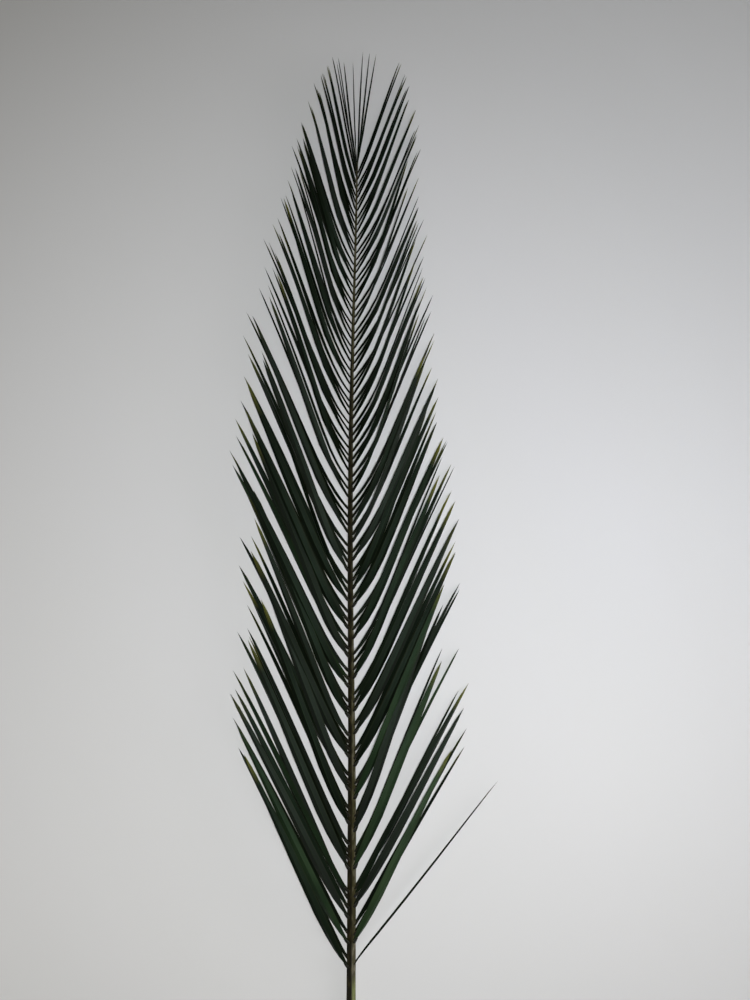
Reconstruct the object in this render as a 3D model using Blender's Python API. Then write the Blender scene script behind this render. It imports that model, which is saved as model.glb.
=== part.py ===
"""Preserved palm frond, lying on a surface with its upper side up.

Metres, +Z up. +Y runs along the stem from the cut end to the tip, +X to the frond's right.
The origin is the middle of the flat spot under the stem, on the surface the frond lies on.
One stem carries two rows of folded leaflets, and all of them grew as one piece.
"""

import math
import random
from collections import namedtuple

import bmesh
import bpy
from mathutils import Vector

MM = 0.001

# Lengths along the stem, from the flat spot at the origin
CUT_END_Y = -40 * MM
FORK_Y = 1030 * MM
FLAT_SPOT_END_Y = 55 * MM
LOWEST_LEAFLET_Y = {-1: 64 * MM, 1: 92 * MM}
LONE_LEAFLET_Y = 66 * MM
TERMINAL_Y = 1018 * MM

# The curves below are read at a place along the stem: 0 at the origin and 1 at the fork.
# Stem: sideways bow, half width and height of the underside over the surface, in mm
STEM_BOW = ((0.0, 0.0), (0.28, 1.2), (0.56, -0.6), (0.67, 0.0), (0.81, 2.9), (0.93, 6.2), (1.0, 7.4))
STEM_HALF_WIDTH = ((-0.04, 5.8), (0.07, 5.5), (0.21, 5.2), (0.35, 4.2), (0.49, 3.4),
                   (0.67, 2.7), (0.81, 1.8), (0.90, 1.35), (1.0, 1.1))
STEM_UNDERSIDE = ((-0.04, 0.0), (0.06, 0.0), (0.2, 4.0), (0.4, 14.0), (0.6, 20.0),
                  (0.8, 18.0), (0.93, 12.0), (1.0, 9.0))
STEM_RING_PLACES = (0.13, 0.21, 0.28, 0.35, 0.42, 0.49, 0.56, 0.63, 0.70, 0.77, 0.84, 0.91, 0.96)
# Stem outline across, in half widths from its middle: flat underside, sides, ridge on top
STEM_OUTLINE = ((-0.55, -0.80), (0.55, -0.80), (0.95, -0.50), (0.95, 0.45), (0.0, 0.80),
                (-0.95, 0.45), (-0.95, -0.50))

# Leaflets: gap between neighbours on one side in mm, along the stem
LEAFLET_GAP = ((0.06, 15.6), (0.16, 14.5), (0.25, 13.2), (0.40, 12.2), (0.50, 11.4),
               (0.62, 10.2), (0.72, 9.3), (0.85, 8.8), (0.95, 8.0), (1.0, 7.2))
# Angle of a leaflet's chord from the stem in degrees, and length in mm, on each side
# with -1 for the left side and 1 for the right, as in every pair below
CHORD_ANGLE = {
    -1: ((0.06, 27.6), (0.11, 26.4), (0.20, 25.2), (0.31, 26.2), (0.40, 26.6), (0.50, 24.9), (0.62, 24.2),
         (0.68, 23.4), (0.76, 20.6), (0.83, 19.2), (0.91, 17.0), (0.957, 15.0), (0.98, 12.0), (0.99, 8.5)),
    1: ((0.09, 29.8), (0.14, 27.8), (0.18, 26.0), (0.235, 24.4), (0.28, 26.0), (0.33, 27.2), (0.39, 26.0),
        (0.50, 26.0), (0.56, 24.6), (0.66, 24.0), (0.77, 25.0), (0.87, 24.0), (0.957, 23.0), (0.985, 20.5))}
LEAFLET_LENGTH = {
    -1: ((0.06, 292.0), (0.11, 304.0), (0.24, 292.0), (0.31, 278.0), (0.38, 304.0),
         (0.47, 292.0), (0.57, 275.0), (0.65, 254.0), (0.75, 230.0), (0.83, 204.0),
         (0.91, 178.0), (0.957, 156.0), (0.98, 142.0)),
    1: ((0.08, 272.0), (0.19, 283.0), (0.32, 281.0), (0.41, 268.0), (0.53, 236.0), (0.63, 224.0),
        (0.72, 204.0), (0.80, 184.0), (0.89, 180.0), (0.957, 152.0), (0.985, 144.0))}
# Flat width of a leaflet in mm, along the stem, on each side
LEAFLET_WIDTH = {
    -1: ((0.06, 11.8), (0.2, 12.8), (0.3, 13.0), (0.45, 12.2), (0.6, 9.6), (0.75, 7.4),
         (0.93, 6.6), (1.0, 5.6)),
    1: ((0.06, 11.8), (0.2, 13.4), (0.3, 12.8), (0.42, 10.9), (0.55, 10.4), (0.65, 9.8), (0.75, 7.8),
        (0.93, 6.4), (1.0, 5.4))}
# Share of that width along one leaflet, from its root to its tip
WIDTH_SHARE = ((0.0, 0.30), (0.05, 0.60), (0.12, 0.93), (0.25, 1.0), (0.5, 0.89),
               (0.7, 0.73), (0.86, 0.52), (0.95, 0.32), (1.0, 0.0))
BLADE_THICKNESS = 0.7 * MM
ROOT_THICKNESS = 1.3 * MM
ROOT_SWELL_END = 0.20
# Half the angle between the two wings of the fold, in degrees, along one leaflet
FOLD_HALF_ANGLE = ((0.0, 40.0), (0.1, 58.0), (0.3, 70.0), (1.0, 68.0))
# Places along a leaflet where its solid has a section; the first is close outside the stem
# (that many half widths of the stem from its middle)
FIRST_SECTION = 2.6
SECTION_PLACES = (0.22, 0.62)
PLAN_STEPS = 24

# The leaflets of a side stand in three ranks that follow each other up the stem:
# 0 rises over the others, 1 runs level and 2 sinks towards the surface.
LOWEST_RANK = 2
RANK_ROOT_HEIGHT = (0.15, 0.0, -0.15)
RANK_ROOT_SLOPE = (0.50, 0.20, -0.02)
RANK_TIP_HEIGHT = (24.0, 11.0, 0.0)
RANK_TIP_DROOP = (0.06, 0.06, 0.05)
# How far a leaflet is rolled from face up to edge up, in degrees, for each rank:
# at its root and further out, in the lower part of the frond and in its upper part
LOWER_ROLL_ROOT = {-1: (30.0, 54.0, 60.0), 1: (36.0, 62.0, 64.0)}
LOWER_ROLL_OUTER = {-1: (14.0, 48.0, 36.0), 1: (24.0, 66.0, 52.0)}
UPPER_ROLL_ROOT = {-1: (80.0, 84.0, 84.0), 1: (76.0, 82.0, 80.0)}
UPPER_ROLL_OUTER = {-1: (26.0, 70.0, 60.0), 1: (60.0, 84.0, 78.0)}
UPPER_STARTS = 0.48
UPPER_FULL = 0.64
# Towards the fork every rank comes to this roll further out
TIP_ROLL = 70.0
TIP_ROLL_FROM = 0.88
TIP_ROLL_FULL = 0.96
ROLL_TURNS_FROM = 0.05
ROLL_TURNED_AT = 0.32
LOWEST_CLEAR = 0.2 * MM
# Over this height the rise is flattened to this share
FLATTENED_FROM = 34 * MM
FLATTENED_TO = 0.6

# A leaflet leaves the stem this many degrees wider than its chord, and straightens in this many mm
ROOT_SPREAD = {
    -1: ((0.06, 34.0), (0.30, 36.0), (0.45, 32.0), (0.60, 29.0), (0.80, 28.0), (0.92, 22.0), (1.0, 12.0)),
    1: ((0.06, 14.0), (0.15, 21.0), (0.30, 27.0), (0.50, 29.0), (0.80, 26.0), (0.92, 22.0), (1.0, 14.0))}
STRAIGHTEN_LENGTH = {
    -1: ((0.06, 13.0), (0.22, 14.0), (0.36, 20.0), (0.50, 28.0), (0.80, 27.0), (1.0, 18.0)),
    1: ((0.06, 14.0), (0.22, 17.0), (0.36, 22.0), (0.50, 30.0), (0.80, 34.0), (1.0, 22.0))}
OUTWARD_CURL = {-1: 3.0, 1: 2.0}
CURL_POWER = 1.5
# Slow swing of the angle along each side, in degrees, over a length of stem
SWING = {-1: 1.0, 1: 0.8}
SWING_LENGTH = {-1: 155 * MM, 1: 104 * MM}
SWING_START = {-1: 64 * MM, 1: 40 * MM}
# Neighbours stand in small groups, given as the ranks of their members going up the stem.
# Each member's root spread and angle change by these degrees for each step from the group's middle.
GROUPS = ((0, 1, 2), (0, 1, 2), (0, 1, 2, 1), (0, 2))
GROUP_ROOT_LEAN = ((0.30, 6.0), (0.50, 3.5), (0.70, 1.0))
GROUP_LEAN = 1.2
# Within a group the gap between neighbours is this share of the mean gap.
# What is left of it goes between the groups.
GROUP_CLOSE = ((0.30, 0.74), (0.50, 0.88), (0.70, 0.97))
ANGLE_JITTER = ((0.06, 3.0), (0.35, 3.0), (0.60, 2.2), (0.80, 1.5), (1.0, 0.8))
# No leaflet stands out wider than this from the mean angle
OUTWARD_LIMIT = 2.4
LENGTH_JITTER = 0.03
GAP_JITTER = 0.10
ROLL_JITTER = 8.0
OUTER_ROLL_JITTER = 12.0
TIP_HEIGHT_JITTER = 4.0
# From this place up to the fork the leaflets settle into the even fan of the tip
WANDER_FADES_FROM = 0.93
SEED = 4100

# Leaflets at the very tip: side, angle from the stem in degrees, length and width in mm
TERMINAL_LEAFLETS = ((-1, 10.5, 134.0, 3.0), (-1, 7.0, 130.0, 3.6), (-1, 2.2, 126.0, 2.4),
                     (1, 9.6, 138.0, 3.6), (1, 6.4, 136.0, 3.4), (1, 3.0, 134.0, 3.2))
TERMINAL_STEP = 1.6 * MM
TERMINAL_SPREAD = 5.0
TERMINAL_STRAIGHTEN = 20 * MM
TERMINAL_ROLL_ROOT = 74.0
TERMINAL_ROLL_OUTER = 48.0
TERMINAL_ROOT_SLOPE = (0.25, 0.10, -0.01)
TERMINAL_TIP_HEIGHTS = (6.0, 10.0, 14.0)
TERMINAL_DROOP = 0.05

# The slender leaflet that stands apart, lowest on the right
LONE_ANGLE = 38.2
LONE_LENGTH = 285 * MM
LONE_WIDTH = 5.6 * MM
LONE_ROLL = 50.0
LONE_ROOT_SLOPE = 0.08
LONE_TIP_HEIGHT = 3.0
LONE_DROOP = 0.03

LEAF_COLOUR = (0.014, 0.028, 0.015, 1)
LEAF_ROUGHNESS = 0.45

Leaflet = namedtuple("Leaflet", "side rank y angle length width spread straighten curl "
                                "roll_root roll_outer slope tip_height droop")


def smooth_value(points, place):
    """Read the smooth curve through (place, value) points, which never overshoots them."""
    if place <= points[0][0]:
        return points[0][1]
    if place >= points[-1][0]:
        return points[-1][1]
    slopes = [(b[1] - a[1]) / (b[0] - a[0]) for a, b in zip(points, points[1:])]

    def tangent(index):
        if index in (0, len(slopes)):
            return slopes[min(index, len(slopes) - 1)]
        before, after = slopes[index - 1], slopes[index]
        return 0.0 if before * after <= 0 else 2 * before * after / (before + after)

    k = 0
    while place > points[k + 1][0]:
        k += 1
    step = points[k + 1][0] - points[k][0]
    t = (place - points[k][0]) / step
    start, end = points[k][1], points[k + 1][1]
    bend = (t ** 3 - 2 * t ** 2 + t) * tangent(k) + (t ** 3 - t ** 2) * tangent(k + 1)
    return start + (end - start) * (3 * t ** 2 - 2 * t ** 3) + bend * step


def blend(low, high, value):
    """Rise smoothly from 0 at low to 1 at high."""
    t = min(max((value - low) / (high - low), 0.0), 1.0)
    return t * t * (3 - 2 * t)


def mix(start, end, share):
    return start + (end - start) * share


def stem_half_width(y):
    return smooth_value(STEM_HALF_WIDTH, y / FORK_Y) * MM


def stem_middle(y):
    """Middle of the stem's section at y."""
    underside = smooth_value(STEM_UNDERSIDE, y / FORK_Y) * MM
    height = underside - STEM_OUTLINE[0][1] * stem_half_width(y)
    return Vector((smooth_value(STEM_BOW, y / FORK_Y) * MM, y, height))


def ordinary_leaflet(side, rank, y, group_step, draw):
    """Choose the shape of one leaflet from its side, its rank and its place on the stem."""
    place = y / FORK_Y
    upper = blend(UPPER_STARTS, UPPER_FULL, place)
    swing = SWING[side] * math.sin(2 * math.pi * (y - SWING_START[side]) / SWING_LENGTH[side])
    jitter = smooth_value(ANGLE_JITTER, place) * draw.uniform(-1, 1)
    wander = min(swing + GROUP_LEAN * group_step + jitter, OUTWARD_LIMIT)
    wander *= 1 - blend(WANDER_FADES_FROM, 1.0, place)
    length_change = 1 + LENGTH_JITTER * draw.uniform(-1, 1)
    roll_change = ROLL_JITTER * draw.uniform(-1, 1)
    outer_change = roll_change + OUTER_ROLL_JITTER * draw.uniform(-1, 1)
    lift = TIP_HEIGHT_JITTER * draw.uniform(-1, 1) if rank < LOWEST_RANK else 0.0
    roll_root = mix(LOWER_ROLL_ROOT[side][rank], UPPER_ROLL_ROOT[side][rank], upper)
    roll_outer = mix(LOWER_ROLL_OUTER[side][rank], UPPER_ROLL_OUTER[side][rank], upper)
    near_fork = blend(TIP_ROLL_FROM, TIP_ROLL_FULL, place)
    return Leaflet(
        side=side, rank=rank, y=y,
        angle=smooth_value(CHORD_ANGLE[side], place) + wander,
        length=smooth_value(LEAFLET_LENGTH[side], place) * MM * length_change,
        width=smooth_value(LEAFLET_WIDTH[side], place) * MM,
        spread=smooth_value(ROOT_SPREAD[side], place) + smooth_value(GROUP_ROOT_LEAN, place) * group_step,
        straighten=smooth_value(STRAIGHTEN_LENGTH[side], place) * MM,
        curl=OUTWARD_CURL[side],
        roll_root=roll_root + roll_change,
        roll_outer=mix(roll_outer, TIP_ROLL, near_fork) + outer_change,
        slope=RANK_ROOT_SLOPE[rank],
        tip_height=(RANK_TIP_HEIGHT[rank] + lift) * MM,
        droop=RANK_TIP_DROOP[rank])


def side_leaflets(side):
    """Set the leaflets of one side up the stem, group after group."""
    draw = random.Random(SEED + side)
    leaflets = []
    y = LOWEST_LEAFLET_Y[side]
    while y < TERMINAL_Y:
        group = draw.choice(GROUPS)
        for member, rank in enumerate(group):
            group_step = member - (len(group) - 1) / 2
            leaflets.append(ordinary_leaflet(side, rank, y, group_step, draw))
            gap = smooth_value(LEAFLET_GAP, y / FORK_Y) * MM
            close = smooth_value(GROUP_CLOSE, y / FORK_Y)
            after_group = member == len(group) - 1
            gap *= 1 + (1 - close) * (len(group) - 1) if after_group else close
            y += gap * (1 + GAP_JITTER * draw.uniform(-1, 1))
    return [leaflet for leaflet in leaflets if leaflet.y < TERMINAL_Y]


def terminal_leaflets():
    """The last leaflets, which spread from the stem's very end."""
    leaflets = []
    for number, (side, angle, length, width) in enumerate(TERMINAL_LEAFLETS):
        rank = number % len(TERMINAL_TIP_HEIGHTS)
        leaflets.append(Leaflet(
            side=side, rank=rank, y=TERMINAL_Y + TERMINAL_STEP * (number + 1),
            angle=angle, length=length * MM, width=width * MM, spread=TERMINAL_SPREAD,
            straighten=TERMINAL_STRAIGHTEN, curl=0.0,
            roll_root=TERMINAL_ROLL_ROOT, roll_outer=TERMINAL_ROLL_OUTER,
            slope=TERMINAL_ROOT_SLOPE[rank], tip_height=TERMINAL_TIP_HEIGHTS[rank] * MM,
            droop=TERMINAL_DROOP))
    return leaflets


def lone_leaflet():
    """The slender lowest leaflet on the right, straight and apart from the others."""
    return Leaflet(
        side=1, rank=1, y=LONE_LEAFLET_Y, angle=LONE_ANGLE, length=LONE_LENGTH, width=LONE_WIDTH,
        spread=0.0, straighten=TERMINAL_STRAIGHTEN, curl=0.0, roll_root=LONE_ROLL, roll_outer=LONE_ROLL,
        slope=LONE_ROOT_SLOPE, tip_height=LONE_TIP_HEIGHT * MM, droop=LONE_DROOP)


def all_leaflets():
    return side_leaflets(-1) + side_leaflets(1) + terminal_leaflets() + [lone_leaflet()]


def plan_angle(leaflet, u):
    """Angle from the stem, seen from above, at the share u of a leaflet's length."""
    decay = leaflet.straighten / leaflet.length
    spread = math.exp(-u / decay) - decay * (1 - math.exp(-1 / decay))
    curl = u ** CURL_POWER - 1 / (CURL_POWER + 1)
    return math.radians(leaflet.angle + leaflet.spread * spread + leaflet.curl * curl)


def leaflet_heights(leaflet):
    """Four heights that steer a leaflet's rise and droop as a Bezier curve."""
    root = stem_middle(leaflet.y).z + RANK_ROOT_HEIGHT[leaflet.rank] * stem_half_width(leaflet.y)
    third = leaflet.length / 3
    after_root = root + leaflet.slope * third
    before_tip = leaflet.tip_height + leaflet.droop * third
    return root, after_root, before_tip, leaflet.tip_height


def leaflet_point(leaflet, u):
    """Point on the fold of a leaflet, u running from the middle of the stem to the tip."""
    stem = stem_middle(leaflet.y)
    step = u * leaflet.length / PLAN_STEPS
    angles = [plan_angle(leaflet, u * (number + 0.5) / PLAN_STEPS) for number in range(PLAN_STEPS)]
    x = stem.x + leaflet.side * step * sum(math.sin(angle) for angle in angles)
    y = stem.y + step * sum(math.cos(angle) for angle in angles)
    a, b, c, d = leaflet_heights(leaflet)
    v = 1 - u
    height = a * v ** 3 + 3 * b * v ** 2 * u + 3 * c * v * u ** 2 + d * u ** 3
    height -= max(0.0, height - FLATTENED_FROM) * (1 - FLATTENED_TO)
    return Vector((x, y, height))


def leaflet_axes(leaflet, u):
    """Directions along the blade, across it and up out of its fold."""
    angle = plan_angle(leaflet, u)
    a, b, c, d = leaflet_heights(leaflet)
    v = 1 - u
    rise = 3 * ((b - a) * v ** 2 + 2 * (c - b) * v * u + (d - c) * u ** 2) / leaflet.length
    along = Vector((leaflet.side * math.sin(angle), math.cos(angle), rise)).normalized()
    inward = Vector((-leaflet.side * math.cos(angle), math.sin(angle), 0.0))
    upward = inward.cross(along) * leaflet.side
    turn = blend(ROLL_TURNS_FROM, ROLL_TURNED_AT, u)
    roll = math.radians(mix(leaflet.roll_root, leaflet.roll_outer, turn))
    opening = upward * math.cos(roll) + inward * math.sin(roll)
    return opening.cross(along) * leaflet.side, opening


def leaflet_section(leaflet, u):
    """Six corners of the folded blade: three on its upper face, then three on its lower face."""
    across, opening = leaflet_axes(leaflet, u)
    half = leaflet.width * smooth_value(WIDTH_SHARE, u) / 2
    thickness = mix(ROOT_THICKNESS, BLADE_THICKNESS, blend(0.0, ROOT_SWELL_END, u))
    fold = math.radians(smooth_value(FOLD_HALF_ANGLE, u))
    corners = []
    for face in (1, -1):
        wings = []
        for wing in (-1, 1):
            out = across * (wing * math.sin(fold)) + opening * math.cos(fold)
            normal = opening * math.sin(fold) - across * (wing * math.cos(fold))
            wings.append(out * half + normal * (face * thickness / 2))
        corners += [wings[0], opening * (face * thickness / 2 / math.sin(fold)), wings[1]]
    point = leaflet_point(leaflet, u)
    lowest = min(point.z + corner.z for corner in corners)
    point.z += max(0.0, LOWEST_CLEAR - lowest)
    return [point + corner for corner in corners]


def add_root(mesh, ring, apex, sides):
    """Close the near end: a flat wedge from the stem's middle, which meets the folded blade."""
    point = mesh.verts.new(apex)
    near = [mesh.verts.new(corner) for corner in sides]
    for a, b in ((0, 1), (1, 3), (3, 2), (2, 0)):
        mesh.faces.new((near[a], near[b], point))
    for face in (0, 1):
        left, right = near[2 * face], near[2 * face + 1]
        far_left, far_middle, far_right = ring[3 * face:3 * face + 3]
        mesh.faces.new((left, right, far_middle))
        mesh.faces.new((left, far_middle, far_left))
        mesh.faces.new((right, far_right, far_middle))
    for upper, lower, far_upper, far_lower in ((0, 2, 0, 3), (1, 3, 2, 5)):
        mesh.faces.new((near[upper], near[lower], ring[far_lower]))
        mesh.faces.new((near[upper], ring[far_lower], ring[far_upper]))


def leaflet_object(leaflet, name, material):
    """One leaflet as a closed solid, split into triangles alike on both faces."""
    mesh = bmesh.new()
    rings = [[mesh.verts.new(corner) for corner in leaflet_section(leaflet, u)] for u in SECTION_PLACES]
    first = leaflet_section(leaflet, FIRST_SECTION * stem_half_width(leaflet.y) / leaflet.length)
    add_root(mesh, rings[0], leaflet_point(leaflet, 0.0), [first[k] for k in (0, 2, 3, 5)])
    for near, far in zip(rings, rings[1:]):
        for left, middle, right in ((0, 1, 2), (3, 4, 5)):
            mesh.faces.new((near[left], near[middle], far[middle]))
            mesh.faces.new((near[left], far[middle], far[left]))
            mesh.faces.new((near[right], far[middle], near[middle]))
            mesh.faces.new((near[right], far[right], far[middle]))
        for upper, lower in ((2, 5), (3, 0)):
            mesh.faces.new((near[upper], near[lower], far[lower]))
            mesh.faces.new((near[upper], far[lower], far[upper]))
    tip = mesh.verts.new(leaflet_point(leaflet, 1.0))
    around = (0, 1, 2, 5, 4, 3)
    for a, b in zip(around, around[1:] + around[:1]):
        mesh.faces.new((rings[-1][a], rings[-1][b], tip))
    bmesh.ops.recalc_face_normals(mesh, faces=mesh.faces)
    return mesh_object(mesh, name, material)


def mesh_object(mesh, name, material):
    data = bpy.data.meshes.new(name)
    mesh.to_mesh(data)
    mesh.free()
    data.materials.append(material)
    return bpy.data.objects.new(name, data)


def stem_object(material):
    """The stem: flat under, ridged on top, with a plain cut end and a slender tip."""
    mesh = bmesh.new()
    places = [CUT_END_Y, FLAT_SPOT_END_Y] + [place * FORK_Y for place in STEM_RING_PLACES] + [FORK_Y]
    rings = []
    for y in places:
        middle = stem_middle(y)
        half = stem_half_width(y)
        rings.append([mesh.verts.new(middle + Vector((x * half, 0, z * half))) for x, z in STEM_OUTLINE])
    for near, far in zip(rings, rings[1:]):
        for a in range(len(STEM_OUTLINE)):
            b = (a + 1) % len(STEM_OUTLINE)
            mesh.faces.new((near[a], near[b], far[b], far[a]))
    mesh.faces.new(rings[0])
    mesh.faces.new(rings[-1])
    bmesh.ops.recalc_face_normals(mesh, faces=mesh.faces)
    return mesh_object(mesh, "frond", material)


def leaf_material():
    """Dyed and preserved palm leaf: dark bluish green with a soft sheen."""
    material = bpy.data.materials.new("preserved_leaf")
    material.use_nodes = True
    shader = material.node_tree.nodes["Principled BSDF"]
    shader.inputs["Base Color"].default_value = LEAF_COLOUR
    shader.inputs["Roughness"].default_value = LEAF_ROUGHNESS
    shader.inputs["Metallic"].default_value = 0.0
    return material


def fuse(stem, leaflets):
    """Join the leaflets to the stem, so that the frond is one solid."""
    collection = bpy.data.collections.new("leaflets")
    bpy.context.scene.collection.children.link(collection)
    for leaflet in leaflets:
        collection.objects.link(leaflet)
    union = stem.modifiers.new("fuse_leaflets", "BOOLEAN")
    union.operation = "UNION"
    union.operand_type = "COLLECTION"
    union.collection = collection
    union.solver = "EXACT"
    bpy.context.view_layer.objects.active = stem
    bpy.ops.object.modifier_apply(modifier=union.name)
    for leaflet in leaflets:
        bpy.data.objects.remove(leaflet)
    bpy.data.collections.remove(collection)
    keep_outer_skin(stem.data)


def keep_outer_skin(data):
    """Fill any hollow that the roots seal between them: only the largest linked skin stays."""
    mesh = bmesh.new()
    mesh.from_mesh(data)
    waiting = set(mesh.verts)
    skins = []
    while waiting:
        skin = []
        edge_of_skin = [waiting.pop()]
        while edge_of_skin:
            vertex = edge_of_skin.pop()
            skin.append(vertex)
            for edge in vertex.link_edges:
                neighbour = edge.other_vert(vertex)
                if neighbour in waiting:
                    waiting.remove(neighbour)
                    edge_of_skin.append(neighbour)
        skins.append(skin)
    skins.sort(key=len)
    for skin in skins[:-1]:
        bmesh.ops.delete(mesh, geom=skin, context="VERTS")
    mesh.to_mesh(data)
    mesh.free()


def build_frond():
    for old in list(bpy.data.objects):
        bpy.data.objects.remove(old)
    material = leaf_material()
    stem = stem_object(material)
    bpy.context.scene.collection.objects.link(stem)
    leaflets = [leaflet_object(shape, f"leaflet_{number}", material)
                for number, shape in enumerate(all_leaflets())]
    fuse(stem, leaflets)


build_frond()
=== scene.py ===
"""Preserved palm frond lying on a pale floor: folded leaflets, ridged stem and fibrous cut end.

Metres, +Z up. +Y runs along the stem from the cut end to the tip, +X to the frond's right.
The origin is the middle of the flat spot under the stem, on the floor.
"""

import math
import random
from collections import namedtuple

import bmesh
import bpy
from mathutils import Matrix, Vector


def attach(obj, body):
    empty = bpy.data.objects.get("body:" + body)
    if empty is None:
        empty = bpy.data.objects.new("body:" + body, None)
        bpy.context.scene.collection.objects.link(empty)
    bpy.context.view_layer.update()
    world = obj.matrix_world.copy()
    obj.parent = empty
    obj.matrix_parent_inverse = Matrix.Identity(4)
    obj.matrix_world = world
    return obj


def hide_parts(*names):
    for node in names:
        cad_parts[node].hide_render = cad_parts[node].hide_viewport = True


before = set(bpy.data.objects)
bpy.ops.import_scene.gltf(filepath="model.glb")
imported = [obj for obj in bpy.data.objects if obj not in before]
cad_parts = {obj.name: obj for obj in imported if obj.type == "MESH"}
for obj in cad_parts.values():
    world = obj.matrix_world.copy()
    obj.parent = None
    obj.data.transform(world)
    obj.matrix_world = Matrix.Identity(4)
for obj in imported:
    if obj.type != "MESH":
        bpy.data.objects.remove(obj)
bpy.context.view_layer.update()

MM = 0.001
NODE = "frond"
BODY = "root"

# Lengths along the stem, from the flat spot at the origin
CUT_END_Y = -40 * MM
FORK_Y = 1030 * MM
LOWEST_LEAFLET_Y = {-1: 64 * MM, 1: 92 * MM}
LONE_LEAFLET_Y = 66 * MM
TERMINAL_Y = 1018 * MM

# The curves below are read at a place along the stem: 0 at the origin and 1 at the fork.
# Stem: sideways bow, half width and height of the underside over the floor, in mm
STEM_BOW = ((0.0, 0.0), (0.28, 1.2), (0.56, -0.6), (0.67, 0.0), (0.81, 2.9), (0.93, 6.2), (1.0, 7.4))
STEM_HALF_WIDTH = ((-0.04, 5.8), (0.07, 5.5), (0.21, 5.2), (0.35, 4.2), (0.49, 3.4),
                   (0.67, 2.7), (0.81, 1.8), (0.90, 1.35), (1.0, 1.1))
STEM_UNDERSIDE = ((-0.04, 0.0), (0.06, 0.0), (0.2, 4.0), (0.4, 14.0), (0.6, 20.0),
                  (0.8, 18.0), (0.93, 12.0), (1.0, 9.0))
STEM_RING_GAP = 22 * MM
# The stem's outline is a circle of radius 1. Its corners under LOW_CORNERS are flattened to
# STEM_UNDERSIDE_DEPTH and spread apart, and the ones between RIDGE_FROM and RIDGE_TO are pressed
# down to RIDGE_SHARE of their height, so that a ridge stands out on top.
STEM_SIDES = 14
LOW_CORNERS = -0.85
STEM_UNDERSIDE_DEPTH = 0.80
UNDERSIDE_SPREAD = 1.3
RIDGE_FROM = 0.2
RIDGE_TO = 0.95
RIDGE_SHARE = 0.72
# The skin starts this far behind the cut face, which is a disc with a small chamfer and a
# dished middle
SKIN_START = 0.8 * MM
DISC_BACK = 1.4 * MM
DISC_DEPTH = 1.1 * MM
DISC_SHARE = 0.97
CHAMFER = 0.3 * MM
CHAMFER_SHARE = 0.93
DISH_RIM = 0.9 * MM
DISH_DEPTH = 0.25 * MM

# Leaflets: gap between neighbours on one side in mm, along the stem
LEAFLET_GAP = ((0.06, 15.6), (0.16, 14.5), (0.25, 13.2), (0.40, 12.2), (0.50, 11.4),
               (0.62, 10.2), (0.72, 9.3), (0.85, 8.8), (0.95, 8.0), (1.0, 7.2))
# Angle of a leaflet's chord from the stem in degrees, and length in mm, on each side
# with -1 for the left side and 1 for the right, as in every pair below
CHORD_ANGLE = {
    -1: ((0.06, 27.6), (0.11, 26.4), (0.20, 25.2), (0.31, 26.2), (0.40, 26.6),
         (0.50, 24.9), (0.62, 24.2), (0.68, 23.4), (0.76, 20.6), (0.83, 19.2),
         (0.91, 17.0), (0.957, 15.0), (0.98, 12.0), (0.99, 8.5)),
    1: ((0.09, 29.8), (0.14, 27.8), (0.18, 26.0), (0.235, 24.4), (0.28, 26.0),
        (0.33, 27.2), (0.39, 26.0), (0.50, 26.0), (0.56, 24.6), (0.66, 24.0),
        (0.77, 25.0), (0.87, 24.0), (0.957, 23.0), (0.985, 20.5))}
LEAFLET_LENGTH = {
    -1: ((0.06, 292.0), (0.11, 304.0), (0.24, 292.0), (0.31, 278.0), (0.38, 304.0),
         (0.47, 292.0), (0.57, 275.0), (0.65, 254.0), (0.75, 230.0), (0.83, 204.0),
         (0.91, 178.0), (0.957, 156.0), (0.98, 142.0)),
    1: ((0.08, 272.0), (0.19, 283.0), (0.32, 281.0), (0.41, 268.0), (0.53, 236.0), (0.63, 224.0),
        (0.72, 204.0), (0.80, 184.0), (0.89, 180.0), (0.957, 152.0), (0.985, 144.0))}
# Flat width of a leaflet in mm, along the stem, on each side
LEAFLET_WIDTH = {
    -1: ((0.06, 11.8), (0.2, 12.8), (0.3, 13.0), (0.45, 12.2), (0.6, 9.6), (0.75, 7.4),
         (0.93, 6.6), (1.0, 5.6)),
    1: ((0.06, 11.8), (0.2, 13.4), (0.3, 12.8), (0.42, 10.9), (0.55, 10.4), (0.65, 9.8), (0.75, 7.8),
        (0.93, 6.4), (1.0, 5.4))}
# Half the angle between the two wings of the fold, in degrees, along one leaflet
FOLD_HALF_ANGLE = ((0.0, 40.0), (0.1, 58.0), (0.3, 70.0), (1.0, 68.0))
PLAN_STEPS = 24

# The leaflets of a side stand in three ranks that follow each other up the stem:
# 0 rises over the others, 1 runs level and 2 sinks towards the floor.
LOWEST_RANK = 2
RANK_ROOT_HEIGHT = (0.15, 0.0, -0.15)
RANK_ROOT_SLOPE = (0.50, 0.20, -0.02)
RANK_TIP_HEIGHT = (24.0, 11.0, 0.0)
RANK_TIP_DROOP = (0.06, 0.06, 0.05)
# How far a leaflet is rolled from face up to edge up, in degrees, for each rank:
# at its root and further out, in the lower part of the frond and in its upper part
LOWER_ROLL_ROOT = {-1: (30.0, 54.0, 60.0), 1: (36.0, 62.0, 64.0)}
LOWER_ROLL_OUTER = {-1: (14.0, 48.0, 36.0), 1: (24.0, 66.0, 52.0)}
UPPER_ROLL_ROOT = {-1: (80.0, 84.0, 84.0), 1: (76.0, 82.0, 80.0)}
UPPER_ROLL_OUTER = {-1: (26.0, 70.0, 60.0), 1: (60.0, 84.0, 78.0)}
UPPER_STARTS = 0.48
UPPER_FULL = 0.64
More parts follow.
